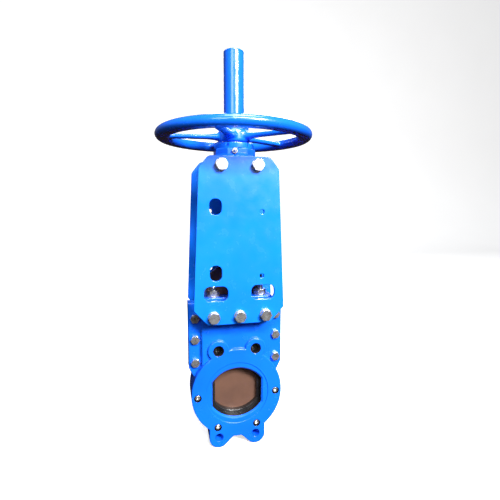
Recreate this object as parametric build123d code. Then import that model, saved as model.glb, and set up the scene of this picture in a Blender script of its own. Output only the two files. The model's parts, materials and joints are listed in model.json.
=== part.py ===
from build123d import *
import os
from math import cos, pi, radians, sin

# Knife gate valve, DN 80, wafer pattern, rising stem, handwheel on a bearing housing.
# Millimetres. +Z up, Y along the pipe, origin on the bore axis midway between the flange faces.

# ---- driving dimensions ----
FACE_TO_FACE = 50.0
BOLT_CIRCLE = 160.0
BORE_ARC_R = 50.0
BORE_HIGH = 41.5
BORE_FLAT = 41.0
DISC_R = 75.0
GASKET_T = 1.5
GATE_T = 8.0
GATE_LAP = 5.0
GATE_HALF = BORE_FLAT + GATE_LAP
STEM_R = 10.0

# ---- body ----
FACE_Y = FACE_TO_FACE / 2
SPLIT_Y = GASKET_T / 2
RECESS_R = 52.0
RECESS_STEP = 1.0
BORE_BEVEL = 2.5
HOLE_ANGLE = radians(22.5)
HOLE_X = BOLT_CIRCLE / 2 * sin(HOLE_ANGLE)
HOLE_Z = BOLT_CIRCLE / 2 * cos(HOLE_ANGLE)
TAP_R = 6.9
TAP_DEPTH = 17.0
TAP_MOUTH_R = 9.0
BOSS_R = 17.0
LUG_R = 16.0
LUG_DROP = 2.0
RAIL_HALF = 77.5
RAIL_Y = 12.0
RAIL_LOW = 44.0
RAIL_NOTCH = (70.0, 29.0)
PANEL_HALF = 57.0
PANEL_Y = 20.0
BODY_TOP = 152.0
BLOCK_HALF = 53.0
BLOCK_LOW = 126.0
BLOCK_SLOPE = 8.0
POCKET_LAP = 11.0
POCKET_HALF = BORE_FLAT + POCKET_LAP
POCKET_Y = 5.0
SIDE_BOLT_X = 67.0
SIDE_BOLT_Z = (53.5, 91.9, 127.0)
SIDE_BOLT_R = 4.0
SIDE_BOLT_AF = 13.0
SCREW_PCR = 65.0
SCREW_ANGLES = (-2.2, -60.0, -120.0, -177.8)
SCREW_R = 2.5
SCREW_HEAD_R = 4.25
SCREW_HEAD_H = 4.0
SCREW_SOCKET = 4.0
SCREW_SINK_R = 6.0
SCREW_SINK = 5.5

# ---- seats, seal, guides ----
LINER_T = 4.0
LINER_MOUTH_Y = 20.5
BEAD_IN = 5.5
BEAD_Y = 12.0
BEAD_SOFT = 2.0
GATE_GAP = 0.3
SEAL_TOP = 20.0
GUIDE_TOP = 123.0

# ---- packing and gland ----
PACK_SIDE = 7.0
PACK_RINGS = 3
PACK_LOW = 127.0
PACK_GAP = 0.2
STUD_X = 38.0
STUD_Y = 20.0
STUD_R = 5.0
STUD_LOW = 131.0
STUD_TOP = 182.0
FOLLOWER_LOW = 154.0
FOLLOWER_TOP = 163.0
FOLLOWER_HALF = 57.0
FOLLOWER_Y = 31.0
NUT_M10_H = 8.0
NUT_M10_AF = 17.0
WASHER_T = 2.0

# ---- yoke plates ----
PLATE_IN = 41.0
PLATE_T = 6.0
PLATE_LOW = 124.5
PLATE_TOP = 379.0
PLATE_CHAMFER_Z = 148.0
PLATE_SHOULDER_Z = 361.0
PLATE_FOOT_HALF = 49.0
PLATE_WIDE_HALF = 70.5
PLATE_SHOULDER_HALF = 60.8
PLATE_HEAD_HALF = 46.5
REAR_PLATE_EXTRA = 4.0
SIGHT_X = -36.5
SIGHT_Z = (204.5, 304.5)
SIGHT_W = 18.5
SIGHT_H = 24.0
SMALL_X = 34.7
SMALL_Z = (198.7, 297.3)
SMALL_R = 3.5
SLOT_X = 36.5
SLOT_Z = 173.0
SLOT_W = 37.0
SLOT_H = 23.0
SLOT_CORNER = 9.0
FOOT_BOLT_X = (-40.5, 0.0, 40.5)
FOOT_BOLT_Z = 137.0
HEAD_BOLT_X = (-27.4, 27.4)
HEAD_BOLT_Z = 366.0
PLATE_BOLT_R = 5.0
PLATE_BOLT_AF = 16.0
PLATE_BOLT_HEAD = 6.5
PLATE_WASHER_R = 9.4
PLATE_BOLT_GRIP = 13.0

# ---- bearing housing ----
HOUSING_HALF = 44.0
HOUSING_LOW = 352.0
NECK_HALF = 31.0
NECK_FACET = 30.8
NECK_TOP = 393.5
SKIRT_R = 41.0
SKIRT_H = 7.0
NIPPLE_X = -5.0
NIPPLE_Z = 388.0
NIPPLE_AF = 8.0
NIPPLE_HEX_H = 5.0
NIPPLE_THREAD_R = 2.5
NIPPLE_NECK_R = 1.5
NIPPLE_HEAD_R = 2.1
NIPPLE_SEAT_R = 5.2
CAGE_R = 21.0
CAGE_LOW = 358.0
COVER_R = 31.0
COVER_TOP = 402.0
RACE_T = 3.0
BALL_R = 2.2
BALL_COUNT = 16
BALL_PCR = 18.5
RUNNING_GAP = 0.05
BEARING_H = 2 * (RACE_T + BALL_R) + RUNNING_GAP

# ---- stem nut, handwheel, protector ----
NUT_R = 16.0
NUT_FLANGE_R = 20.6
NUT_FLANGE_T = 8.0
NUT_FLANGE_LOW = CAGE_LOW + BEARING_H
NUT_FLANGE_TOP = NUT_FLANGE_LOW + NUT_FLANGE_T
THREAD_GAP = 0.08
WHEEL_Z = 413.8
RIM_MID_R = 110.4
RIM_HALF_W = 12.0
RIM_HALF_H = 9.0
RIM_Z = 414.4
RIM_BASE_Z = 407.0
RIM_EDGE_R = 1.2
SPOKES = 5
SPOKE_START = -42.7
SPOKE_W = 14.0
SPOKE_T = 7.0
HUB_R = 25.0
HUB_HALF = 9.2
KEY_W = 6.0
KEY_L = 16.0
WHEEL_NUT_TOP = 433.0
WHEEL_NUT_AF = 41.0
TUBE_R = 16.0
TUBE_WALL = 2.6
TUBE_TOP = 539.5
CAP_T = 3.0

# ---- gate and stem ----
GATE_SHOULDER = 193.0
GATE_NECK_Z = 214.0
GATE_TONGUE = 19.0
GATE_TOP = 226.0
CLEVIS_LOW = 196.0
CLEVIS_TOP = 246.0
CLEVIS_HALF = 17.0
CLEVIS_Y = 14.0
CLEVIS_BOLT_X = 8.5
CLEVIS_BOLT_Z = 210.0
CLEVIS_BOLT_R = 4.0
STEM_LOW = 230.0
LOCK_NUT_T = 8.0
STEM_TOP = 436.0


# ---- helpers ----
def block(x0, x1, y0, y1, z0, z1):
    middle = ((x0 + x1) / 2, (y0 + y1) / 2, (z0 + z1) / 2)
    return Pos(*middle) * Box(x1 - x0, y1 - y0, z1 - z0)


def slab(outline, y0, y1):
    """An X-Z outline as a slab between two Y values."""
    back = Plane(origin=(0, y1, 0), x_dir=(1, 0, 0), z_dir=(0, -1, 0))
    return extrude(back * outline, y1 - y0)


def rod_y(radius, y0, y1, x=0.0, z=0.0):
    return Pos(x, (y0 + y1) / 2, z) * Rot(90, 0, 0) * Cylinder(radius, y1 - y0)


def rod_z(radius, z0, z1, x=0.0, y=0.0):
    return Pos(x, y, (z0 + z1) / 2) * Cylinder(radius, z1 - z0)


def hex_z(across, z0, z1, x=0.0, y=0.0):
    """A hexagon with its top and bottom corners turned off at 30 degrees."""
    prism = Pos(x, y, z0) * extrude(RegularPolygon(across / 2, 6, major_radius=False), z1 - z0)
    height = z1 - z0
    crown = Pos(x, y, z0 + height / 2) * Cylinder(across * 0.577, height)
    return prism & chamfer(crown.edges(), across * 0.03, across * 0.055)


def hex_y(across, y0, y1, x, z):
    return Pos(x, y0, z) * Rot(-90, 0, 0) * hex_z(across, 0, y1 - y0)


def ring_z(outer, inner, z0, z1, x=0.0, y=0.0):
    return rod_z(outer, z0, z1, x, y) - rod_z(inner, z0 - 1, z1 + 1, x, y)


def ring_y(outer, inner, y0, y1, x, z):
    return rod_y(outer, y0, y1, x, z) - rod_y(inner, y0 - 1, y1 + 1, x, z)


def mirrored(shape):
    return mirror(shape, about=Plane.XZ)


def bore_outline(grow=0.0):
    """An upper and a lower arc joined by a vertical flat on each side."""
    offset = BORE_ARC_R - BORE_HIGH
    radius = BORE_ARC_R + grow
    arcs = Pos(0, -offset) * Circle(radius) & Pos(0, offset) * Circle(radius)
    return arcs & Rectangle(2 * (BORE_FLAT + grow), 4 * BORE_HIGH)


def u_outline(grow, top):
    """The lower half of the bore's outline, carried straight up to a given height."""
    return bore_outline(grow) + Pos(0, top / 2) * Rectangle(2 * (BORE_FLAT + grow), top)


def as_group(solids):
    return Compound(children=list(solids))


# ---- body ----
def disc_outline():
    """A disc with two lugs, upright on the outer side and sloping at 45 degrees on the inner."""
    outline = Circle(DISC_R)
    low = -HOLE_Z - LUG_DROP
    tangent = LUG_R * sin(radians(45))
    flank = (HOLE_X - tangent, low - tangent)
    root = (0, flank[1] + flank[0])
    for side in (-1, 1):
        outline += Pos(side * HOLE_X, low) * Circle(LUG_R)
        corners = [root, flank, (HOLE_X, low), (HOLE_X + LUG_R, low), (HOLE_X + LUG_R, -DISC_R / 2),
                   (0, -DISC_R / 2)]
        outline += make_face(Polyline(*[(side * x, z) for x, z in corners], close=True))
    return outline


def rail_outline():
    notch_x, notch_z = RAIL_NOTCH
    right = [(0, BODY_TOP), (RAIL_HALF, BODY_TOP), (RAIL_HALF, RAIL_LOW), (notch_x, notch_z), (0, 0)]
    left = [(-x, z) for x, z in reversed(right[1:-1])]
    return make_face(Polyline(*right, *left, close=True))


def soft_front(shape, radius):
    """Rounds the edges of the face that looks along -Y."""
    return fillet(shape.edges().group_by(Axis.Y)[0], radius)


def plate_block():
    """The block that carries the yoke plates, with a sloping underside."""
    side = [(-PLATE_IN, BLOCK_LOW), (-PLATE_IN, BODY_TOP), (-SPLIT_Y, BODY_TOP),
            (-SPLIT_Y, BLOCK_LOW - BLOCK_SLOPE), (-PANEL_Y, BLOCK_LOW - BLOCK_SLOPE)]
    return extrude(Plane.YZ * make_face(Polyline(*side, close=True)), BLOCK_HALF, both=True)


def gate_pocket():
    return slab(u_outline(POCKET_LAP, BLOCK_LOW), -POCKET_Y, 0)


def packing_half():
    half_x = GATE_HALF + PACK_GAP + PACK_SIDE
    half_y = GATE_T / 2 + PACK_GAP + PACK_SIDE
    return half_x, half_y


def body_half():
    disc = slab(disc_outline(), -FACE_Y, -SPLIT_Y)
    lug_roots = disc.edges().filter_by(Axis.Y).filter_by(lambda e: abs(e.center().X) < HOLE_X - LUG_R)
    disc = soft_front(fillet(lug_roots, 4.0), 1.5)
    rails = soft_front(slab(rail_outline(), -RAIL_Y, -SPLIT_Y), 1.5)
    panel_middle = (BODY_TOP + SEAL_TOP) / 2
    panel = slab(Pos(0, panel_middle) * Rectangle(2 * PANEL_HALF, BODY_TOP - SEAL_TOP), -PANEL_Y, -SPLIT_Y)
    half = disc + rails + soft_front(panel, 2.0)
    for side in (-1, 1):
        half += soft_front(rod_y(BOSS_R, -FACE_Y, -SPLIT_Y, side * HOLE_X, HOLE_Z), 1.5)
    half += plate_block()
    half -= gate_pocket()
    pack_x, pack_y = packing_half()
    half -= block(-pack_x, pack_x, -pack_y, 0, BLOCK_LOW, BODY_TOP + 1)
    half -= slab(bore_outline(), -FACE_Y - 1, 0)
    half -= slab(bore_outline(LINER_T), -LINER_MOUTH_Y, 0)
    half -= rod_y(RECESS_R, -FACE_Y - 1, -FACE_Y + RECESS_STEP)
    half = bevel_bore(half)
    for side in (-1, 1):
        half -= rod_y(TAP_R, -FACE_Y - 1, -FACE_Y + TAP_DEPTH, side * HOLE_X, HOLE_Z)
        half -= mouth_cone(side * HOLE_X, HOLE_Z)
        half -= rod_y(TAP_R, -FACE_Y - 1, 0, side * HOLE_X, -HOLE_Z)
        for z in SIDE_BOLT_Z:
            half -= rod_y(SIDE_BOLT_R + 0.4, -RAIL_Y - 1, 0, side * SIDE_BOLT_X, z)
        half -= rod_z(STUD_R, STUD_LOW, BODY_TOP + 1, side * STUD_X, -STUD_Y)
    for x in FOOT_BOLT_X:
        half -= rod_y(PLATE_BOLT_R, -PLATE_IN - 1, -PLATE_IN + PLATE_BOLT_GRIP, x, FOOT_BOLT_Z)
    return half


def bevel_bore(half):
    """Bevels the mouth of the bore."""
    mouth = -FACE_Y + RECESS_STEP
    edges = half.edges().filter_by(lambda e: abs(e.center().Y - mouth) < 0.01)
    inner = edges.filter_by(lambda e: max((v.X ** 2 + v.Z ** 2) ** 0.5 for v in e.vertices()) < RECESS_R - 2)
    return chamfer(inner, BORE_BEVEL)


def mouth_cone(x, z):
    depth = TAP_MOUTH_R - TAP_R
    cone = Pos(x, -FACE_Y + depth / 2, z) * Rot(90, 0, 0) * Cone(TAP_R, TAP_MOUTH_R, depth)
    return cone


def screw_places():
    return [(SCREW_PCR * cos(radians(a)), SCREW_PCR * sin(radians(a))) for a in SCREW_ANGLES]


def make_body():
    front = body_half()
    rear = mirrored(body_half())
    for x, z in screw_places():
        front -= rod_y(SCREW_R + 0.3, -FACE_Y, 0, x, z)
        front -= rod_y(SCREW_SINK_R, -FACE_Y - 1, -FACE_Y + SCREW_SINK, x, z)
        rear -= rod_y(SCREW_R, 0, FACE_Y - 8, x, z)
    return front, rear


def make_gasket():
    """The flat gasket round the pocket, between the halves."""
    sheet = slab(disc_outline() + rail_outline(), -SPLIT_Y, SPLIT_Y)
    pocket = gate_pocket()
    sheet -= pocket + mirrored(pocket)
    pack_x, pack_y = packing_half()
    sheet -= block(-pack_x, pack_x, -pack_y, pack_y, BLOCK_LOW, BODY_TOP + 1)
    for side in (-1, 1):
        sheet -= rod_y(TAP_R, -2, 2, side * HOLE_X, -HOLE_Z)
        for z in SIDE_BOLT_Z:
            sheet -= rod_y(SIDE_BOLT_R + 0.4, -2, 2, side * SIDE_BOLT_X, z)
    for x, z in screw_places():
        sheet -= rod_y(SCREW_R + 0.3, -2, 2, x, z)
    return sheet


def make_liner():
    """Front rubber seat: a sleeve in the bore that swells to a rounded bead against the gate."""
    lip_end = GATE_T / 2 + GATE_GAP
    sleeve = slab(bore_outline(LINER_T), -LINER_MOUTH_Y, -POCKET_Y)
    sleeve += slab(bore_outline(LINER_T / 2), -POCKET_Y, -lip_end)
    sleeve -= slab(bore_outline(), -LINER_MOUTH_Y - 1, 0)
    bead = slab(bore_outline() - bore_outline(-BEAD_IN), -BEAD_Y, -lip_end)
    inner = bead.edges().group_by(Axis.Y)[0].filter_by(inside_bore)
    return sleeve + fillet(inner, BEAD_SOFT)


def inside_bore(edge):
    """True for an edge on the inner side of the bead."""
    return max((v.X ** 2 + v.Z ** 2) ** 0.5 for v in edge.vertices()) < BORE_HIGH


def make_edge_seal():
    """U-shaped seal round the lower edge of the gate."""
    band = u_outline(POCKET_LAP, SEAL_TOP) - u_outline(GATE_LAP + GATE_GAP, SEAL_TOP)
    above = block(-POCKET_HALF - 1, POCKET_HALF + 1, -POCKET_Y - 1, POCKET_Y + 1, SEAL_TOP, BLOCK_LOW)
    return slab(band, -POCKET_Y, POCKET_Y) - above


def make_guide(side):
    near = GATE_HALF + GATE_GAP
    low, high = sorted((side * near, side * POCKET_HALF))
    return block(low, high, -POCKET_Y, POCKET_Y, SEAL_TOP, GUIDE_TOP)


# ---- fasteners of the body ----
def side_fasteners():
    bolts = []
    nuts = []
    for side in (-1, 1):
        for z in SIDE_BOLT_Z:
            x = side * SIDE_BOLT_X
            head = hex_y(SIDE_BOLT_AF, -RAIL_Y - 5.5, -RAIL_Y, x, z)
            bolts.append(head + rod_y(SIDE_BOLT_R, -RAIL_Y - 1, RAIL_Y + 9, x, z))
            nuts.append(hex_y(SIDE_BOLT_AF, RAIL_Y, RAIL_Y + 6.5, x, z) - rod_y(SIDE_BOLT_R, 0, 30, x, z))
    return as_group(bolts), as_group(nuts)


def flange_screws():
    screws = []
    floor_y = -FACE_Y + SCREW_SINK
    for x, z in screw_places():
        head = soft_front(rod_y(SCREW_HEAD_R, floor_y - SCREW_HEAD_H, floor_y, x, z), 0.5)
        socket = extrude(RegularPolygon(SCREW_SOCKET / 2, 6, major_radius=False), 3.0)
        head -= Pos(x, floor_y - SCREW_HEAD_H - 0.5, z) * Rot(-90, 0, 0) * socket
        screws.append(head + rod_y(SCREW_R, floor_y - 0.5, FACE_Y - 9, x, z))
    return as_group(screws)


# ---- packing and gland ----
def packing_ring(index):
    pack_x, pack_y = packing_half()
    low = PACK_LOW + index * PACK_SIDE
    outer = fillet(Rectangle(2 * pack_x, 2 * pack_y).vertices(), 1.0)
    inner = Rectangle(2 * (GATE_HALF + PACK_GAP), GATE_T + 2 * PACK_GAP)
    return Pos(0, 0, low) * extrude(outer - inner, PACK_SIDE)


def make_follower():
    """Gland follower: an oblong flange with a nose that enters the packing chamber."""
    pack_x, pack_y = packing_half()
    nose_low = PACK_LOW + PACK_RINGS * PACK_SIDE
    flange = fillet(Rectangle(2 * FOLLOWER_HALF, 2 * FOLLOWER_Y).vertices(), 8.0)
    body = Pos(0, 0, FOLLOWER_LOW) * extrude(flange, FOLLOWER_TOP - FOLLOWER_LOW)
    body = fillet(body.edges().group_by(Axis.Z)[-1], 1.5)
    nose = Rectangle(2 * pack_x - 0.8, 2 * pack_y - 0.8)
    body += Pos(0, 0, nose_low) * extrude(nose, FOLLOWER_LOW - nose_low)
    slot = Rectangle(2 * (GATE_HALF + 1), GATE_T + 2)
    body -= Pos(0, 0, nose_low - 1) * extrude(slot, FOLLOWER_TOP - nose_low + 2)
    for x, y in gland_places():
        body -= rod_z(STUD_R + 0.6, FOLLOWER_LOW - 1, FOLLOWER_TOP + 1, x, y)
    return body


def gland_places():
    return [(sx * STUD_X, sy * STUD_Y) for sx in (-1, 1) for sy in (-1, 1)]


def gland_fasteners():
    studs = []
    washers = []
    nuts = []
    nut_low = FOLLOWER_TOP + WASHER_T
    for x, y in gland_places():
        stud = rod_z(STUD_R, STUD_LOW, STUD_TOP, x, y)
        studs.append(chamfer(stud.edges().group_by(Axis.Z)[-1], 1.0))
        washers.append(ring_z(NUT_M10_AF * 0.56, STUD_R, FOLLOWER_TOP, nut_low, x, y))
        nut = hex_z(NUT_M10_AF, nut_low, nut_low + NUT_M10_H, x, y)
        nuts.append(nut - rod_z(STUD_R, nut_low - 1, nut_low + NUT_M10_H + 1, x, y))
    return as_group(studs), as_group(washers), as_group(nuts)


# ---- yoke ----
def plate_outline(extra):
    right = [(PLATE_HEAD_HALF + extra, PLATE_TOP), (PLATE_SHOULDER_HALF + extra, PLATE_SHOULDER_Z),
             (PLATE_WIDE_HALF + extra, PLATE_CHAMFER_Z), (PLATE_FOOT_HALF + extra, PLATE_LOW)]
    left = [(-x, z) for x, z in reversed(right)]
    outline = make_face(Polyline(*right, *left, close=True))
    upper = outline.vertices().filter_by(lambda v: v.Y > PLATE_SHOULDER_Z - 1)
    outline = fillet(upper, 10.0)
    lower = outline.vertices().filter_by(lambda v: v.Y < PLATE_CHAMFER_Z + 1)
    return fillet(lower, 5.0)


def make_plate(extra=0.0):
    outline = plate_outline(extra)
    for z in SIGHT_Z:
        outline -= Pos(SIGHT_X, z) * fillet(Rectangle(SIGHT_W, SIGHT_H).vertices(), SIGHT_W / 2 - 0.6)
    for z in SMALL_Z:
        outline -= Pos(SMALL_X, z) * Circle(SMALL_R)
    for side in (-1, 1):
        outline -= Pos(side * SLOT_X, SLOT_Z) * fillet(Rectangle(SLOT_W, SLOT_H).vertices(), SLOT_CORNER)
    for x in FOOT_BOLT_X:
        outline -= Pos(x, FOOT_BOLT_Z) * Circle(PLATE_BOLT_R + 0.5)
    for x in HEAD_BOLT_X:
        outline -= Pos(x, HEAD_BOLT_Z) * Circle(PLATE_BOLT_R + 0.5)
    plate = slab(outline, -PLATE_IN - PLATE_T, -PLATE_IN)
    return fillet(plate.edges().group_by(Axis.Y)[0], 0.8)


def plate_bolts(places, head_washer):
    """Hexagon bolts with washers through both plates, heads outward."""
    bolts = []
    washers = []
    face = -PLATE_IN - PLATE_T
    for x, z in places:
        seat = face - head_washer
        shank_end = -PLATE_IN + PLATE_BOLT_GRIP - 1
        head = hex_y(PLATE_BOLT_AF, seat - PLATE_BOLT_HEAD, seat, x, z)
        bolt = head + rod_y(PLATE_BOLT_R, seat - 1, shank_end, x, z)
        washer = ring_y(PLATE_WASHER_R, PLATE_BOLT_R, seat, face, x, z)
        bolts += [bolt, mirrored(bolt)]
        washers += [washer, mirrored(washer)]
    return as_group(bolts), as_group(washers)


def make_housing():
    """Bearing housing: a bridge between the plates with an eight-sided neck and a flared skirt."""
    bridge = block(-HOUSING_HALF, HOUSING_HALF, -PLATE_IN, PLATE_IN, HOUSING_LOW, PLATE_TOP)
    bridge = fillet(bridge.edges().filter_by(Axis.Y), 3.0)
    square = Rectangle(2 * NECK_HALF, 2 * NECK_HALF)
    octagon = chamfer(square.vertices(), NECK_HALF - NECK_FACET / 2)
    neck = Pos(0, 0, PLATE_TOP - 1) * extrude(octagon, NECK_TOP - PLATE_TOP + 1)
    neck = chamfer(neck.edges().group_by(Axis.Z)[-1], 1.5)
    skirt = Pos(0, 0, PLATE_TOP + SKIRT_H / 2) * Cone(SKIRT_R, NECK_HALF, SKIRT_H)
    housing = bridge + neck + skirt
    housing -= rod_z(CAGE_R, CAGE_LOW, NECK_TOP + 1)
    housing -= rod_z(STEM_R + 4, HOUSING_LOW - 1, CAGE_LOW + 1)
    for x in HEAD_BOLT_X:
        tap = rod_y(PLATE_BOLT_R, -PLATE_IN - 1, -PLATE_IN + PLATE_BOLT_GRIP, x, HEAD_BOLT_Z)
        housing -= tap + mirrored(tap)
    housing -= rod_y(NIPPLE_THREAD_R, -NECK_HALF - 1, -CAGE_R + 1, NIPPLE_X, NIPPLE_Z)
    housing -= rod_y(NIPPLE_SEAT_R, -SKIRT_R, -NECK_HALF, NIPPLE_X, NIPPLE_Z)
    return housing


def make_nipple():
    """Grease nipple in a spot face on the front of the neck."""
    seat = -NECK_HALF
    front = seat - NIPPLE_HEX_H
    hexagon = hex_y(NIPPLE_AF, front, seat, NIPPLE_X, NIPPLE_Z)
    stalk = rod_y(NIPPLE_THREAD_R, seat - 1, seat + 6, NIPPLE_X, NIPPLE_Z)
    waist = rod_y(NIPPLE_NECK_R, front - 2, front + 0.5, NIPPLE_X, NIPPLE_Z)
    ball = Pos(NIPPLE_X, front - 2.5, NIPPLE_Z) * Sphere(NIPPLE_HEAD_R)
    return hexagon + stalk + waist + ball


def make_cover():
    """Bearing cover: a ring nut with six spanner notches."""
    ring = rod_z(COVER_R, NECK_TOP, COVER_TOP)
    ring = fillet(ring.edges().group_by(Axis.Z)[-1], 1.5)
    spigot_low = NUT_FLANGE_TOP + BEARING_H
    ring += rod_z(CAGE_R, spigot_low, NECK_TOP)
    ring -= rod_z(NUT_R + 0.4, spigot_low - 1, COVER_TOP + 1)
    notch = block(COVER_R - 3, COVER_R + 2, -2.5, 2.5, NECK_TOP + 2.5, COVER_TOP + 1)
    for index in range(6):
        ring -= Rot(0, 0, index * 60) * notch
    return ring


def housing_race(low):
    """Race that sits in the housing and clears the stem nut."""
    return ring_z(CAGE_R, NUT_R + 0.6, low, low + RACE_T)


def shaft_race(low):
    """Race that turns with the stem nut and clears the housing."""
    return ring_z(CAGE_R - 0.6, NUT_R, low, low + RACE_T)


def bearing_balls(low):
    ball_z = low + BEARING_H / 2
    balls = []
    for index in range(BALL_COUNT):
        turn = 2 * pi * index / BALL_COUNT
        balls.append(Pos(BALL_PCR * cos(turn), BALL_PCR * sin(turn), ball_z) * Sphere(BALL_R))
    return as_group(balls)


# ---- turning parts ----
def make_stem_nut():
    low = NUT_FLANGE_LOW - RACE_T
    nut = rod_z(NUT_R, low, WHEEL_NUT_TOP - 3)
    nut += rod_z(NUT_FLANGE_R, NUT_FLANGE_LOW, NUT_FLANGE_TOP)
    nut -= rod_z(STEM_R + THREAD_GAP, low - 1, WHEEL_NUT_TOP)
    return nut - make_key()


def make_key():
    return block(NUT_R - 3, NUT_R + 3, -KEY_W / 2, KEY_W / 2, WHEEL_Z - KEY_L / 2, WHEEL_Z + KEY_L / 2)


def make_rim():
    """Rim of the handwheel: a wide arch in section on a flat base."""
    cut_y = RIM_BASE_Z - RIM_Z - RIM_HALF_H
    arch = Ellipse(RIM_HALF_W, RIM_HALF_H) - Pos(0, cut_y) * Rectangle(4 * RIM_HALF_W, 2 * RIM_HALF_H)
    arch = fillet(arch.vertices().group_by(Axis.Y)[0], RIM_EDGE_R)
    return revolve(Plane.XZ * Pos(RIM_MID_R, RIM_Z) * arch, Axis.Z)


def make_handwheel():
    rim = make_rim()
    hub = rod_z(HUB_R, WHEEL_Z - HUB_HALF, WHEEL_Z + HUB_HALF)
    hub = fillet(hub.edges(), 2.5)
    wheel = rim + hub
    spoke_end = RIM_MID_R - RIM_HALF_W / 3
    for index in range(SPOKES):
        half_t = SPOKE_T / 2
        spoke = block(HUB_R - 3, spoke_end, -SPOKE_W / 2, SPOKE_W / 2, WHEEL_Z - half_t, WHEEL_Z + half_t)
        spoke = fillet(spoke.edges().filter_by(Axis.X), 2.2)
        wheel += Rot(0, 0, SPOKE_START - index * 360 / SPOKES) * spoke
    wheel -= rod_z(NUT_R, WHEEL_Z - 20, WHEEL_Z + 20)
    return wheel - make_key()


def make_wheel_nut():
    low = WHEEL_Z + HUB_HALF
    nut = hex_z(WHEEL_NUT_AF, low, WHEEL_NUT_TOP)
    return nut - rod_z(NUT_R, low - 1, WHEEL_NUT_TOP + 1)


def make_tube():
    low = WHEEL_NUT_TOP - 3
    tube = rod_z(TUBE_R - 0.02, low, TUBE_TOP)
    return tube - rod_z(TUBE_R - TUBE_WALL, low - 1, TUBE_TOP + 1)


def make_tube_cap():
    cap = rod_z(TUBE_R, TUBE_TOP, TUBE_TOP + CAP_T)
    cap = fillet(cap.edges().group_by(Axis.Z)[-1], 2.0)
    return cap + rod_z(TUBE_R - TUBE_WALL, TUBE_TOP - 6, TUBE_TOP)


# ---- rising parts ----
def make_gate():
    right = [(0, GATE_TOP), (GATE_TONGUE, GATE_TOP), (GATE_TONGUE, GATE_NECK_Z),
             (GATE_HALF, GATE_SHOULDER), (GATE_HALF, 0), (0, 0)]
    left = [(-x, z) for x, z in reversed(right[1:-1])]
    outline = make_face(Polyline(*right, *left, close=True)) + bore_outline(GATE_LAP)
    for side in (-1, 1):
        outline -= Pos(side * CLEVIS_BOLT_X, CLEVIS_BOLT_Z) * Circle(CLEVIS_BOLT_R)
    return slab(outline, -GATE_T / 2, GATE_T / 2)


def make_clevis():
    fork = block(-CLEVIS_HALF, CLEVIS_HALF, -CLEVIS_Y, CLEVIS_Y, CLEVIS_LOW, CLEVIS_TOP)
    fork = fillet(fork.edges().filter_by(Axis.Z), 4.0)
    fork = chamfer(fork.edges().group_by(Axis.Z)[-1], 2.0)
    fork -= block(-40, 40, -GATE_T / 2, GATE_T / 2, CLEVIS_LOW - 1, GATE_TOP)
    fork -= rod_z(STEM_R, STEM_LOW, CLEVIS_TOP + 1)
    for side in (-1, 1):
        fork -= rod_y(CLEVIS_BOLT_R, -30, 30, side * CLEVIS_BOLT_X, CLEVIS_BOLT_Z)
    return fork


def clevis_fasteners():
    bolts = []
    nuts = []
    for side in (-1, 1):
        x = side * CLEVIS_BOLT_X
        head = hex_y(13.0, -CLEVIS_Y - 5.3, -CLEVIS_Y, x, CLEVIS_BOLT_Z)
        bolts.append(head + rod_y(CLEVIS_BOLT_R, -CLEVIS_Y - 1, CLEVIS_Y + 9, x, CLEVIS_BOLT_Z))
        nut = hex_y(13.0, CLEVIS_Y, CLEVIS_Y + 6.5, x, CLEVIS_BOLT_Z)
        nuts.append(nut - rod_y(CLEVIS_BOLT_R, 0, 40, x, CLEVIS_BOLT_Z))
    return as_group(bolts), as_group(nuts)


def make_stem():
    stem = rod_z(STEM_R, STEM_LOW, STEM_TOP)
    return chamfer(stem.edges().group_by(Axis.Z)[-1], 1.5)


def make_lock_nut():
    nut = hex_z(30.0, CLEVIS_TOP, CLEVIS_TOP + LOCK_NUT_T)
    return nut - rod_z(STEM_R, CLEVIS_TOP - 1, CLEVIS_TOP + LOCK_NUT_T + 1)


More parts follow.
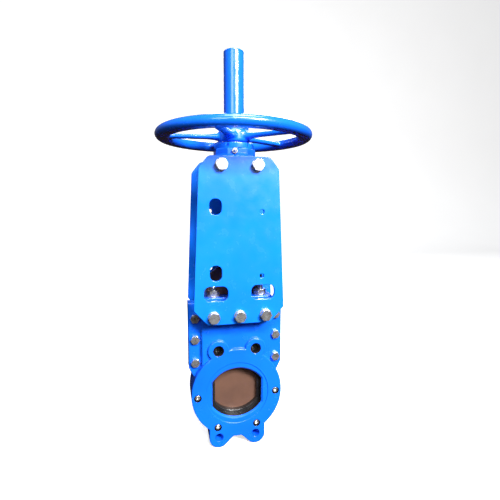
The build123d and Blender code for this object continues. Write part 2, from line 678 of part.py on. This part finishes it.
# ---- assembly ----
def build_nodes():
    nodes = {}
    nodes["body_front_half"], nodes["body_rear_half"] = make_body()
    nodes["body_gasket"] = make_gasket()
    nodes["seat_liner_front"] = make_liner()
    nodes["seat_liner_rear"] = mirrored(make_liner())
    nodes["gate_edge_seal"] = make_edge_seal()
    nodes["gate_guide_left"] = make_guide(-1)
    nodes["gate_guide_right"] = make_guide(1)
    nodes["side_bolts"], nodes["side_nuts"] = side_fasteners()
    nodes["flange_screws"] = flange_screws()
    for index, name in enumerate(("lower", "middle", "upper")):
        nodes["packing_ring_" + name] = packing_ring(index)
    nodes["gland_follower"] = make_follower()
    nodes["gland_studs"], nodes["gland_washers"], nodes["gland_nuts"] = gland_fasteners()
    nodes["yoke_plate_front"] = make_plate()
    nodes["yoke_plate_rear"] = Rot(0, 0, 180) * make_plate(REAR_PLATE_EXTRA)
    foot_places = [(x, FOOT_BOLT_Z) for x in FOOT_BOLT_X]
    head_places = [(x, HEAD_BOLT_Z) for x in HEAD_BOLT_X]
    nodes["foot_bolts"], nodes["foot_washers"] = plate_bolts(foot_places, WASHER_T)
    nodes["head_bolts"], nodes["head_washers"] = plate_bolts(head_places, WASHER_T)
    nodes["bearing_housing"] = make_housing()
    nodes["grease_nipple"] = make_nipple()
    nodes["bearing_cover"] = make_cover()
    nodes["lower_bearing_housing_race"] = housing_race(CAGE_LOW)
    nodes["lower_bearing_balls"] = bearing_balls(CAGE_LOW)
    nodes["lower_bearing_shaft_race"] = shaft_race(NUT_FLANGE_LOW - RACE_T)
    nodes["upper_bearing_shaft_race"] = shaft_race(NUT_FLANGE_TOP)
    nodes["upper_bearing_balls"] = bearing_balls(NUT_FLANGE_TOP)
    nodes["upper_bearing_housing_race"] = housing_race(NUT_FLANGE_TOP + BEARING_H - RACE_T)
    nodes["stem_nut"] = make_stem_nut()
    nodes["wheel_key"] = make_key()
    nodes["handwheel"] = make_handwheel()
    nodes["wheel_nut"] = make_wheel_nut()
    nodes["protector_tube"] = make_tube()
    nodes["protector_cap"] = make_tube_cap()
    nodes["gate"] = make_gate()
    nodes["stem_clevis"] = make_clevis()
    nodes["clevis_bolts"], nodes["clevis_nuts"] = clevis_fasteners()
    nodes["stem"] = make_stem()
    nodes["stem_lock_nut"] = make_lock_nut()
    return nodes


os.makedirs("parts", exist_ok=True)
for name, shape in build_nodes().items():
    export_step(shape, os.path.join("parts", name + ".step"))
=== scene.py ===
import json
from math import atan2, copysign, cos, pi, radians, sin, tau

import bmesh
import bpy
from mathutils import Matrix, Vector


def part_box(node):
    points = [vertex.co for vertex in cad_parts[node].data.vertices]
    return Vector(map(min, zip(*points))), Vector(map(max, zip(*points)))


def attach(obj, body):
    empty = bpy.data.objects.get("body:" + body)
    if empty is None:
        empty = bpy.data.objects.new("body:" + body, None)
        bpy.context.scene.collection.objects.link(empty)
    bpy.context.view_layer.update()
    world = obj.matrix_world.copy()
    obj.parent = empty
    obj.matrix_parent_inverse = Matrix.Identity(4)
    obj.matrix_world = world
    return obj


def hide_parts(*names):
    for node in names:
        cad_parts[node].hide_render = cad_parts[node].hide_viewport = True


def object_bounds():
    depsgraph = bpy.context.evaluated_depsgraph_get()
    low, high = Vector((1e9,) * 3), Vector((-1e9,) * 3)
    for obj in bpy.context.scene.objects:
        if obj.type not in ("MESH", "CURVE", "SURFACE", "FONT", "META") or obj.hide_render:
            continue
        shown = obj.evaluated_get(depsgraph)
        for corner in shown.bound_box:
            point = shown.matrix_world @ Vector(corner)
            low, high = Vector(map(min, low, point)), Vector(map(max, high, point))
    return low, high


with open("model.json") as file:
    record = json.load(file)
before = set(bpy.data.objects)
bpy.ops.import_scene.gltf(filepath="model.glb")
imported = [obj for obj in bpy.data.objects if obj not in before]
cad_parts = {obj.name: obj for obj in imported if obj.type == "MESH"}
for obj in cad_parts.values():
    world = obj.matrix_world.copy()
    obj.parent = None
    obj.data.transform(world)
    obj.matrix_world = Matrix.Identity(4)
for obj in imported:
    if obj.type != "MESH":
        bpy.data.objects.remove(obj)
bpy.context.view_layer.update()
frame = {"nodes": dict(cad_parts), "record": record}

# Knife gate valve. Metres, in the frame of the CAD: +Z up, Y along the pipe, origin on the bore axis.

MM = 0.001
nodes = frame["nodes"]


# ---------------------------------------------------------------- places and sizes
def mount(name):
    for entry in frame["record"]["mounts"]:
        if entry["name"] == name:
            return entry
    raise KeyError(name)


TAPPED = mount("front_tapped_holes")
TAPPED_X = TAPPED["dims"]["spacing_x_mm"] * MM / 2
TAPPED_Z = TAPPED["pos_m"][2]
TAPPED_MOUTH_R = 9.0 * MM
SCREW_PCR = 65.0 * MM
SCREW_ANGLES = (-2.2, -60.0, -120.0, -177.8)
SCREW_RECESS_R = 6.3 * MM

# The rim is an ellipse in section, cut off below its middle by a flat base.
RIM_HALF_W = 12.0 * MM
RIM_HALF_H = 9.0 * MM
RIM_BASE_DROP = 7.4 * MM
HUB_R = 25.0 * MM
HUB_BORE_R = 16.0 * MM
HUB_HALF = 9.2 * MM
HUB_EDGE = 2.0 * MM
# Height of the hub's middle. The hub reaches lower than any other part of the wheel.
WHEEL_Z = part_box("handwheel")[0].z + HUB_HALF
SPOKES = 5
FIRST_SPOKE_ANGLE = -42.7
SPOKE_IN_HUB = 2.5 * MM
SPOKE_SHORT_OF_RIM_MIDDLE = 2.0 * MM
SPOKE_HALF_W = 6.9 * MM
SPOKE_HALF_T = 3.5 * MM
SPOKE_SWELL_W = 4.0 * MM
SPOKE_SWELL_T = 2.6 * MM

STEM_THREAD_DEPTH = 2.2 * MM
STEM_PITCH = 4.0 * MM
STUD_R = 5.0 * MM
STUD_THREAD_DEPTH = 0.85 * MM
STUD_PITCH = 1.5 * MM
RIGHT_HAND, LEFT_HAND = 1, -1


# ---------------------------------------------------------------- material helper
class Mat:
    """Short calls for building one material."""

    def __init__(self, name):
        self.material = bpy.data.materials.new(name)
        self.material.use_nodes = True
        self.tree = self.material.node_tree
        self.shader = self.tree.nodes["Principled BSDF"]
        self.where = self.add("ShaderNodeTexCoord").outputs["Object"]

    def add(self, kind, **settings):
        node = self.tree.nodes.new(kind)
        for key, value in settings.items():
            setattr(node, key, value)
        return node

    def feed(self, socket, value):
        if isinstance(value, bpy.types.NodeSocket):
            self.tree.links.new(value, socket)
        else:
            socket.default_value = value

    def set(self, **values):
        for key, value in values.items():
            self.feed(self.shader.inputs[key.replace("_", " ")], value)

    def stretched(self, scale):
        mapping = self.add("ShaderNodeMapping")
        self.feed(mapping.inputs["Vector"], self.where)
        mapping.inputs["Scale"].default_value = scale
        return mapping.outputs["Vector"]

    def noise(self, scale, detail=3.0, roughness=0.5, where=None):
        node = self.add("ShaderNodeTexNoise")
        self.feed(node.inputs["Vector"], where or self.where)
        node.inputs["Scale"].default_value = scale
        node.inputs["Detail"].default_value = detail
        node.inputs["Roughness"].default_value = roughness
        return node.outputs["Fac"]

    def ramp(self, value, low, high, out_low=0.0, out_high=1.0):
        """Carries the range low to high over to the range out_low to out_high."""
        node = self.add("ShaderNodeMapRange")
        self.feed(node.inputs["Value"], value)
        for socket, number in zip(node.inputs[1:5], (low, high, out_low, out_high)):
            socket.default_value = number
        return node.outputs["Result"]

    def math(self, operation, first, second=0.0):
        node = self.add("ShaderNodeMath", operation=operation)
        self.feed(node.inputs[0], first)
        self.feed(node.inputs[1], second)
        return node.outputs[0]

    def blend(self, fac, first, second):
        node = self.add("ShaderNodeMix", data_type="RGBA")
        self.feed(node.inputs[0], fac)
        self.feed(node.inputs[6], first)
        self.feed(node.inputs[7], second)
        return node.outputs[2]

    def bump(self, height, strength, distance, normal=None):
        node = self.add("ShaderNodeBump")
        self.feed(node.inputs["Height"], height)
        node.inputs["Strength"].default_value = strength
        node.inputs["Distance"].default_value = distance
        if normal is not None:
            self.feed(node.inputs["Normal"], normal)
        return node.outputs["Normal"]

    def rounded(self, radius):
        """Normal that makes edges look rounded."""
        node = self.add("ShaderNodeBevel", samples=4)
        node.inputs["Radius"].default_value = radius
        return node.outputs["Normal"]

    def axes(self):
        node = self.add("ShaderNodeSeparateXYZ")
        self.feed(node.inputs[0], self.where)
        return node.outputs


def colour(red, green, blue):
    return (red, green, blue, 1.0)


# ---------------------------------------------------------------- materials
def enamel(name, deep, light, peel=0.12, cast=0.0, edge=0.8 * MM, coat=0.35):
    """Glossy blue enamel: the tone drifts, the film has orange peel, castings show their sand under it."""
    m = Mat(name)
    drift = m.ramp(m.noise(9.0, detail=2.0), 0.35, 0.65)
    tone = m.blend(drift, deep, light)
    speck = m.ramp(m.noise(900.0, detail=2.0), 0.70, 0.76, 0.0, 0.35)
    m.set(Base_Color=m.blend(speck, tone, colour(0.004, 0.05, 0.30)))
    m.set(Roughness=m.ramp(m.noise(60.0, detail=4.0), 0.3, 0.7, 0.16, 0.30))
    m.set(Coat_Weight=coat, Coat_Roughness=0.08)
    normal = m.rounded(edge)
    if cast:
        normal = m.bump(m.noise(95.0, detail=5.0, roughness=0.65), cast, 0.8 * MM, normal)
    normal = m.bump(m.noise(330.0, detail=2.0), peel, 0.25 * MM, normal)
    m.set(Normal=normal)
    return m


def spot(m, x, z, at_x, at_z, radius, soft=0.3 * MM):
    """1 within a radius of a point seen along Y, 0 outside it, with a soft edge."""
    dx = m.math("SUBTRACT", x, at_x)
    dz = m.math("SUBTRACT", z, at_z)
    squares = m.math("ADD", m.math("MULTIPLY", dx, dx), m.math("MULTIPLY", dz, dz))
    away = m.math("POWER", squares, 0.5)
    return m.ramp(away, radius - soft, radius, 1.0, 0.0)


def paint_hole_shade(m):
    """Painted shade: near-black in the mouths of the tapped holes of both body halves and in the screw
    recesses of the front one.
    """
    x, y, z = m.axes()
    hole_shade = spot(m, m.math("ABSOLUTE", x), z, TAPPED_X, TAPPED_Z, TAPPED_MOUTH_R)
    front = m.math("LESS_THAN", y, 0.0)
    for angle in SCREW_ANGLES:
        turn = radians(angle)
        recess_shade = spot(m, x, z, SCREW_PCR * cos(turn), SCREW_PCR * sin(turn), SCREW_RECESS_R)
        hole_shade = m.math("MAXIMUM", hole_shade, m.math("MULTIPLY", recess_shade, front))
    base = m.shader.inputs["Base Color"].links[0].from_socket
    # painted shade: the hole and recess masks blend the base colour to near-black
    m.set(Base_Color=m.blend(hole_shade, base, colour(0.006, 0.006, 0.008)))


def zinc():
    """Bright zinc with a faint warm mottle and a fine grain."""
    m = Mat("zinc_plate")
    warm = m.ramp(m.noise(110.0, roughness=0.55), 0.45, 0.70)
    m.set(Base_Color=m.blend(warm, colour(0.78, 0.80, 0.82), colour(0.56, 0.51, 0.45)))
    m.set(Metallic=0.93)
    m.set(Roughness=m.ramp(m.noise(260.0), 0.3, 0.7, 0.22, 0.34))
    m.set(Normal=m.bump(m.noise(240.0, detail=2.0), 0.10, 0.15 * MM, m.rounded(0.5 * MM)))
    return m


def gate_steel_painted_reflection():
    """Ground stainless plate: fine vertical grain; its brown base colour is a painted reflection of a
    brown floor, mottled at random.
    """
    m = Mat("gate_stainless_painted_reflection")
    grain = m.noise(1.0, detail=2.0, where=m.stretched((2600.0, 2600.0, 45.0)))
    brown_reflection_mottle = m.ramp(m.noise(26.0, detail=4.0, roughness=0.6), 0.35, 0.70)
    # painted reflection: two browns that stand for a brown floor mirrored in the polished steel
    m.set(Base_Color=m.blend(brown_reflection_mottle, colour(0.172, 0.088, 0.060), colour(0.128, 0.068, 0.049)))
    m.set(Metallic=0.35)
    m.set(Roughness=m.ramp(grain, 0.3, 0.7, 0.30, 0.46))
    m.set(Normal=m.bump(grain, 0.08, 0.1 * MM, m.rounded(0.4 * MM)))
    return m


def machined_metal(name, tint, rough):
    """Turned metal: fine rings round the upright axis, browned in places."""
    m = Mat(name)
    rings = m.noise(1.0, detail=2.0, where=m.stretched((90.0, 90.0, 3200.0)))
    stain = m.ramp(m.noise(70.0, detail=4.0), 0.45, 0.75)
    m.set(Base_Color=m.blend(stain, tint, colour(tint[0] * 0.6, tint[1] * 0.56, tint[2] * 0.5)))
    m.set(Metallic=1.0)
    m.set(Roughness=m.ramp(rings, 0.3, 0.7, rough, rough + 0.16))
    m.set(Normal=m.bump(rings, 0.10, 0.1 * MM, m.rounded(0.3 * MM)))
    return m


def rubber(name, shade, grain=500.0, bloom_gain=2.2):
    """Moulded rubber or fibre sheet with a dull, paler bloom."""
    m = Mat(name)
    pale = colour(shade[0] * bloom_gain, shade[1] * bloom_gain, shade[2] * bloom_gain)
    bloom = m.ramp(m.noise(45.0, detail=4.0), 0.45, 0.75)
    m.set(Base_Color=m.blend(bloom, shade, pale))
    m.set(Roughness=m.ramp(m.noise(120.0), 0.3, 0.7, 0.20, 0.34))
    m.set(Normal=m.bump(m.noise(grain), 0.2, 0.15 * MM, m.rounded(0.4 * MM)))
    return m


def nylon():
    """Machined nylon, cream with a slight haze."""
    m = Mat("guide_nylon")
    haze = m.ramp(m.noise(50.0), 0.4, 0.7)
    m.set(Base_Color=m.blend(haze, colour(0.80, 0.77, 0.66), colour(0.70, 0.66, 0.54)))
    m.set(Roughness=m.ramp(m.noise(300.0), 0.3, 0.7, 0.38, 0.52))
    m.set(Subsurface_Weight=0.15)
    m.set(Normal=m.bump(m.noise(900.0, detail=2.0), 0.15, 0.1 * MM))
    return m


def braid(phase_per_metre=1600.0):
    """Square-braided packing: crossing diagonal strands."""
    m = Mat("packing_braid")
    x, y, z = m.axes()
    level = m.math("MULTIPLY", m.math("ADD", x, y), phase_per_metre)
    rise = m.math("MULTIPLY", z, phase_per_metre)
    run = m.math("SINE", m.math("ADD", level, rise))
    cross = m.math("SINE", m.math("SUBTRACT", level, rise))
    strands = m.math("MULTIPLY", run, cross)
    m.set(Base_Color=m.blend(m.ramp(strands, -1, 1), colour(0.34, 0.32, 0.26), colour(0.74, 0.71, 0.60)))
    m.set(Roughness=m.ramp(m.noise(400.0), 0.3, 0.7, 0.6, 0.85))
    m.set(Normal=m.bump(strands, 0.5, 0.4 * MM))
    return m


DEEP, LIGHT = colour(0.0035, 0.105, 0.76), colour(0.0045, 0.135, 0.84)
PLATE_DEEP, PLATE_LIGHT = colour(0.0040, 0.150, 0.84), colour(0.0050, 0.175, 0.90)
paint_cast = enamel("enamel_casting", DEEP, LIGHT, peel=0.10, cast=0.10, edge=1.2 * MM)
# painted shade in the tapped holes and the front screw recesses
paint_hole_shade(paint_cast)
paint_plate = enamel("enamel_plate", PLATE_DEEP, PLATE_LIGHT, peel=0.04, edge=0.7 * MM)
paint_wheel = enamel("enamel_wheel", DEEP, LIGHT, peel=0.04, cast=0.03, coat=0.80)
zinc_plate = zinc()
steel = machined_metal("stem_steel", colour(0.55, 0.55, 0.54), 0.24)
race_steel = machined_metal("race_steel", colour(0.75, 0.75, 0.77), 0.10)
FINISHES = {
    "blue_paint": paint_cast,
    "zinc_plate": zinc_plate,
    "stainless": gate_steel_painted_reflection(),
    "stem_steel": steel,
    "bearing_steel": race_steel,
    "bronze": machined_metal("stem_nut_bronze", colour(0.72, 0.46, 0.20), 0.26),
    "black_rubber": rubber("liner_rubber", colour(0.010, 0.010, 0.011)),
    "gasket_sheet": rubber("gasket_fibre", colour(0.030, 0.030, 0.032), 900.0),
    "guide_plastic": nylon(),
    "packing_braid": braid(),
}
OWN_FINISH = {
    "yoke_plate_front": paint_plate,
    "yoke_plate_rear": paint_plate,
    "handwheel": paint_wheel,
    "protector_tube": paint_wheel,
    "protector_cap": paint_wheel,
    "wheel_nut": paint_wheel,
}


def dress(piece, finish):
    piece.data.materials.clear()
    piece.data.materials.append(finish.material)


def dress_cad():
    for entry in frame["record"]["subparts"]:
        node = entry["node"]
        dress(nodes[node], OWN_FINISH.get(node) or FINISHES[entry["material_slot"]])


# ---------------------------------------------------------------- mesh helpers
def make_piece(name, build, finish, body, replaced):
    """A mesh piece that stands for a CAD node."""
    mesh = bpy.data.meshes.new(name)
    bm = bmesh.new()
    build(bm)
    bmesh.ops.recalc_face_normals(bm, faces=bm.faces)
    bm.to_mesh(mesh)
    bm.free()
    piece = bpy.data.objects.new(name, mesh)
    bpy.context.scene.collection.objects.link(piece)
    mesh.shade_smooth()
    dress(piece, finish)
    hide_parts(replaced)
    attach(piece, body)
    return piece


def apply_modifiers(piece):
    graph = bpy.context.evaluated_depsgraph_get()
    mesh = bpy.data.meshes.new_from_object(piece.evaluated_get(graph))
    piece.modifiers.clear()
    piece.data = mesh


def revolve(bm, profile, steps):
    """Turns a closed profile of (radius, z) points about the stem axis."""
    rings = []
    for step in range(steps):
        turn = tau * step / steps
        rings.append([bm.verts.new((r * cos(turn), r * sin(turn), z)) for r, z in profile])
    count = len(profile)
    for step in range(steps):
        here, there = rings[step], rings[(step + 1) % steps]
        for i in range(count):
            j = (i + 1) % count
            bm.faces.new((here[i], there[i], there[j], here[j]))


def threaded_rod(bm, radius, depth, pitch, low, high, hand, steps, centre=(0.0, 0.0), flat=0.36):
    """A rod with a helical thread cut in it from low to high and a chamfer at its upper end.

    flat is the share of the pitch that the crest takes, and the root as well.
    """
    chamfer, spare_turns = 0.8, 3
    slope = (1.0 - 2.0 * flat) / 2.0
    shape = ((0.0, 0.0), (flat, 0.0), (flat + slope, 1.0), (2 * flat + slope, 1.0))
    per_turn = len(shape)
    turns = int((high - low) / pitch) + spare_turns
    grid = []
    for row in range(turns * per_turn):
        part, fall = shape[row % per_turn]
        base = low + (row // per_turn - 1 + part) * pitch
        line = []
        for step in range(steps):
            z = base + pitch * step / steps
            fade = min(1.0, max(0.0, (high - z) / pitch), max(0.0, (z - low) / pitch))
            r = radius - depth * fall * fade - max(0.0, z - (high - depth)) * chamfer
            z = min(high, max(low, z))
            if z >= high:
                r = radius - depth * chamfer
            turn = hand * tau * step / steps
            line.append(bm.verts.new((centre[0] + r * cos(turn), centre[1] + r * sin(turn), z)))
        grid.append(line)
    for row in range(len(grid) - 1):
        near, far = grid[row], grid[row + 1]
        for step in range(steps - 1):
            bm.faces.new((near[step], near[step + 1], far[step + 1], far[step]))
        if row + per_turn + 1 < len(grid):
            upper, lower = grid[row + per_turn + 1], grid[row + per_turn]
            bm.faces.new((near[-1], lower[0], upper[0], far[-1]))
    bmesh.ops.remove_doubles(bm, verts=bm.verts, dist=1e-6)
    bmesh.ops.dissolve_degenerate(bm, edges=bm.edges, dist=1e-7)


def close_ends(bm):
    edges = [e for e in bm.edges if e.is_boundary]
    bmesh.ops.holes_fill(bm, edges=edges, sides=0)


# ---------------------------------------------------------------- handwheel
def rim_section(ring_r, ring_z, sides=48):
    """Points of the rim's section, as (radius, z), in order round its middle."""
    arch = []
    for i in range(sides):
        a = tau * (i + 0.5) / sides
        if RIM_HALF_H * sin(a) > -RIM_BASE_DROP:
            arch.append((ring_r + RIM_HALF_W * cos(a), ring_z + RIM_HALF_H * sin(a)))
    base_half = RIM_HALF_W * (1.0 - (RIM_BASE_DROP / RIM_HALF_H) ** 2) ** 0.5
    base = [(ring_r + base_half * share, ring_z - RIM_BASE_DROP) for share in (-1.0, -0.33, 0.33, 1.0)]
    return sorted(arch + base, key=lambda point: atan2(point[1] - ring_z, point[0] - ring_r) % tau)


def build_wheel(bm):
    """Cast wheel: arched rim on a flat base, five spokes that swell at both ends, and a turned hub."""
    low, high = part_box("handwheel")
    ring_r = (high.x - low.x) / 2 - RIM_HALF_W
    ring_z = high.z - RIM_HALF_H
    revolve(bm, rim_section(ring_r, ring_z), steps=180)
    under, over = WHEEL_Z - HUB_HALF, WHEEL_Z + HUB_HALF
    hub = [(HUB_BORE_R, under), (HUB_R - HUB_EDGE, under), (HUB_R, under + HUB_EDGE),
           (HUB_R, over - HUB_EDGE), (HUB_R - HUB_EDGE, over), (HUB_BORE_R, over)]
    revolve(bm, hub, steps=96)
    for index in range(SPOKES):
        turn = radians(FIRST_SPOKE_ANGLE - 360.0 / SPOKES * index)
        add_spoke(bm, turn, HUB_R - SPOKE_IN_HUB, ring_r - SPOKE_SHORT_OF_RIM_MIDDLE)


def add_spoke(bm, turn, inner, outer, sections=22, sides=20):
    """A bar with well rounded edges, wider and thicker where it joins the hub and the rim."""
    hub_share, rim_share, rim_swell = 0.28, 0.20, 0.8
    boxiness = 0.62
    along = Vector((cos(turn), sin(turn), 0.0))
    across = Vector((-sin(turn), cos(turn), 0.0))
    up = Vector((0.0, 0.0, 1.0))
    rings = []
    for s in range(sections + 1):
        t = s / sections
        swell = max(0.0, 1.0 - t / hub_share) ** 2
        swell += rim_swell * max(0.0, (t - (1.0 - rim_share)) / rim_share) ** 2
        half_w = SPOKE_HALF_W + SPOKE_SWELL_W * swell
        half_t = SPOKE_HALF_T + SPOKE_SWELL_T * swell
        centre = along * (inner + (outer - inner) * t) + up * WHEEL_Z
        ring = []
        for k in range(sides):
            a = tau * k / sides
            w = half_w * copysign(abs(cos(a)) ** boxiness, cos(a))
            h = half_t * copysign(abs(sin(a)) ** boxiness, sin(a))
            ring.append(bm.verts.new(centre + across * w + up * h))
        rings.append(ring)
    for s in range(sections):
        for k in range(sides):
            j = (k + 1) % sides
            bm.faces.new((rings[s][k], rings[s][j], rings[s + 1][j], rings[s + 1][k]))
    bm.faces.new(rings[0])
    bm.faces.new(rings[-1])


def make_wheel():
    """Fuses the rim, the spokes and the hub into one skin and softens its corners."""
    wheel = make_piece("cast_handwheel", build_wheel, paint_wheel, "wheel", "handwheel")
    fuse = wheel.modifiers.new("fuse", "REMESH")
    fuse.mode = "VOXEL"
    fuse.voxel_size = 1.1 * MM
    fuse.use_smooth_shade = True
    soften = wheel.modifiers.new("soften", "SMOOTH")
    soften.factor = 0.5
    soften.iterations = 4
    apply_modifiers(wheel)
    wheel.data.shade_smooth()
    dress(wheel, paint_wheel)


# ---------------------------------------------------------------- stem and studs
def build_stem(bm):
    low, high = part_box("stem")
    radius = (high.x - low.x) / 2
    threaded_rod(bm, radius, STEM_THREAD_DEPTH, STEM_PITCH, low.z, high.z, LEFT_HAND, steps=48)
    close_ends(bm)


def build_studs(bm):
    low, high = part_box("gland_studs")
    for sx in (-1, 1):
        for sy in (-1, 1):
            centre = (sx * (high.x - STUD_R), sy * (high.y - STUD_R))
            threaded_rod(bm, STUD_R, STUD_THREAD_DEPTH, STUD_PITCH, low.z, high.z, RIGHT_HAND,
                         steps=28, centre=centre, flat=0.15)
    close_ends(bm)


def make_threads():
    make_piece("threaded_stem", build_stem, steel, "gate_stem", "stem")
    make_piece("threaded_gland_studs", build_studs, zinc_plate, "frame", "gland_studs")


# ---------------------------------------------------------------- studio
def make_floor():
    """A pale floor that curves up into a wall behind the valve."""
    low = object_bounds()[0]
    mesh = bpy.data.meshes.new("floor")
    half, back, bend, top, steps = 6.0, 2.2, 1.1, 6.0, 16
    clear = 0.2 * MM
    rows = [(-half, 0.0)]
    for step in range(steps + 1):
        turn = pi / 2 * step / steps
        rows.append((back + bend * sin(turn), bend * (1 - cos(turn))))
    rows.append((back + bend, top))
    verts = [(x, y, low[2] - clear + z) for y, z in rows for x in (-half, half)]
    faces = [(2 * i, 2 * i + 1, 2 * i + 3, 2 * i + 2) for i in range(len(rows) - 1)]
    mesh.from_pydata(verts, [], faces)
    mesh.shade_smooth()
    floor = bpy.data.objects.new("floor", mesh)
    bpy.context.scene.collection.objects.link(floor)
    m = Mat("pale_floor")
    brown_reflection_mottle = m.ramp(m.noise(3.0), 0.3, 0.7)
    m.set(Base_Color=m.blend(brown_reflection_mottle, colour(0.82, 0.82, 0.82), colour(0.86, 0.86, 0.86)))
    m.set(Roughness=0.7)
    m.set(Emission_Color=colour(1.0, 1.0, 1.0), Emission_Strength=0.62)
    dress(floor, m)
    floor.visible_diffuse = False
    floor.visible_glossy = False


def area_light(name, place, target, size_x, size_y, power):
    data = bpy.data.lights.new(name, "AREA")
    data.shape = "RECTANGLE"
    data.size = size_x
    data.size_y = size_y
    data.energy = power
    light = bpy.data.objects.new(name, data)
    light.location = place
    light.rotation_euler = (Vector(target) - Vector(place)).to_track_quat("-Z", "Y").to_euler()
    bpy.context.scene.collection.objects.link(light)


def make_world():
    """White to the camera; to every other ray dim, warm and dark below and cool above."""
    strength = 0.55
    below, above = (0.44, colour(0.036, 0.024, 0.019)), (0.56, colour(0.19, 0.20, 0.22))
    world = bpy.data.worlds.new("studio")
    bpy.context.scene.world = world
    world.use_nodes = True
    tree = world.node_tree
    away = tree.nodes.new("ShaderNodeTexCoord")
    parts = tree.nodes.new("ShaderNodeSeparateXYZ")
    ramp = tree.nodes.new("ShaderNodeValToRGB")
    height = tree.nodes.new("ShaderNodeMapRange")
    tree.links.new(away.outputs["Generated"], parts.inputs[0])
    tree.links.new(parts.outputs["Z"], height.inputs["Value"])
    for socket, number in zip(height.inputs[1:5], (-1.0, 1.0, 0.0, 1.0)):
        socket.default_value = number
    tree.links.new(height.outputs["Result"], ramp.inputs["Fac"])
    stops = ramp.color_ramp.elements
    stops[0].position, stops[0].color = below
    stops[1].position, stops[1].color = above
    dim = tree.nodes["Background"]
    tree.links.new(ramp.outputs["Color"], dim.inputs["Color"])
    dim.inputs["Strength"].default_value = strength
    white = tree.nodes.new("ShaderNodeBackground")
    seen = tree.nodes.new("ShaderNodeLightPath")
    mix = tree.nodes.new("ShaderNodeMixShader")
    tree.links.new(seen.outputs["Is Camera Ray"], mix.inputs[0])
    tree.links.new(dim.outputs[0], mix.inputs[1])
    tree.links.new(white.outputs[0], mix.inputs[2])
    white.inputs["Color"].default_value = colour(1.0, 1.0, 1.0)
    tree.links.new(mix.outputs[0], tree.nodes["World Output"].inputs["Surface"])


def make_lights():
    """Key from the right in front, a wide strip above it for the gloss, and a faint low card."""
    centre = (0.0, 0.0, 0.23)
    area_light("key", (0.80, -1.75, 1.25), centre, 0.62, 0.62, 116.0)
    area_light("strip", (0.10, -1.62, 1.60), centre, 0.95, 0.16, 44.0)
    area_light("card", (0.40, -1.85, 0.60), (0.0, 0.0, 0.37), 0.70, 0.24, 0.8)
    area_light("fill", (-0.9, -1.7, 1.1), centre, 0.8, 0.8, 10.0)
    area_light("top", (0.2, -0.2, 2.2), centre, 0.9, 0.9, 26.0)
    area_light("rear", (0.6, 2.0, 1.5), centre, 1.0, 1.0, 20.0)


def make_camera():
    """The camera stands in front, left of the middle, level with the plates, and looks slightly down."""
    sensor, lens = 36.0, 26.56584
    place = Vector((-0.1073, -0.5917, 0.3035))
    yaw, pitch, roll = radians(12.72), radians(-6.57), radians(0.09)
    ahead = Vector((sin(yaw) * cos(pitch), cos(yaw) * cos(pitch), sin(pitch)))
    right = Vector((cos(yaw), -sin(yaw), 0.0))
    up = right.cross(ahead)
    side = right * cos(roll) + up * sin(roll)
    top = up * cos(roll) - right * sin(roll)
    data = bpy.data.cameras.new("camera")
    data.sensor_width = sensor
    data.lens = lens
    data.clip_start = 0.01
    camera = bpy.data.objects.new("camera", data)
    camera.matrix_world = Matrix.Translation(place) @ Matrix((side, top, -ahead)).transposed().to_4x4()
    bpy.context.scene.collection.objects.link(camera)
    bpy.context.scene.camera = camera


dress_cad()
make_wheel()
make_threads()
make_floor()
make_world()
make_lights()
make_camera()
bpy.context.scene.view_settings.view_transform = "Standard"
